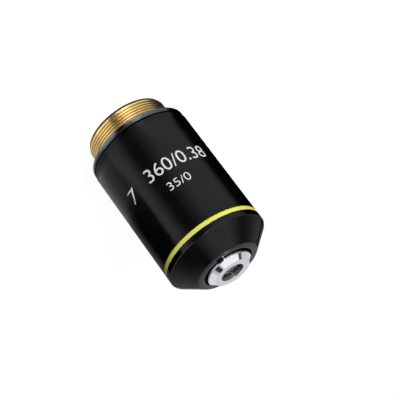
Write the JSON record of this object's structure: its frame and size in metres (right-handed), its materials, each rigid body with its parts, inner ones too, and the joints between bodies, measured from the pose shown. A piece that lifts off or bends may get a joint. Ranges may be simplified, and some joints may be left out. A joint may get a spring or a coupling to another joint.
{
  "type": "microscope objective",
  "caption": "Screw-in microscope objective: brass mounting thread, black barrel with a yellow ring, stepped cone and bright nose cell around a small front lens.",
  "frame": {"origin": "centre of the thread rim, which is the bottom centre of the object as it stands on that rim", "axes": "+Z along the optical axis from the thread rim towards the nose; X and Y are free, because the outside is turned"},
  "size_m": [0.025, 0.025, 0.045],
  "materials": {
    "gold_brass": "turned, lightly burnished, fine thread",
    "matt_black": "matt black anti-reflection finish",
    "grey_metal": "satin turned grey metal",
    "body_alloy": "dark anodised, turned",
    "screw_steel": "blued steel",
    "black_enamel": "semi-gloss black enamel",
    "yellow_enamel": "satin yellow enamel",
    "bright_chrome": "bright turned chrome",
    "shim_brass": "plain turned brass",
    "lens_glass": "coated optical glass"
  },
  "bodies": {
    "root": {"thread_mount": "gold_brass", "rear_baffle": "matt_black", "shoulder_ring": "grey_metal", "body_tube": "body_alloy", "grub_screws": "screw_steel", "barrel_sleeve": "black_enamel", "colour_ring": "yellow_enamel", "nose_cone": "black_enamel", "lens_barrel": "body_alloy", "parfocal_shim": "shim_brass", "lock_ring": "matt_black", "nose_cell": "bright_chrome", "front_flint": "lens_glass", "front_crown": "lens_glass", "front_retaining_ring": "matt_black", "spacer_tube": "matt_black", "middle_cell": "shim_brass", "middle_lens": "lens_glass", "middle_retaining_ring": "matt_black", "cell_spacer": "matt_black", "rear_cell": "shim_brass", "rear_flint": "lens_glass", "rear_crown": "lens_glass", "rear_lens_ring": "matt_black", "aperture_stop": "matt_black", "barrel_retaining_ring": "matt_black"}
  },
  "joints": []
}
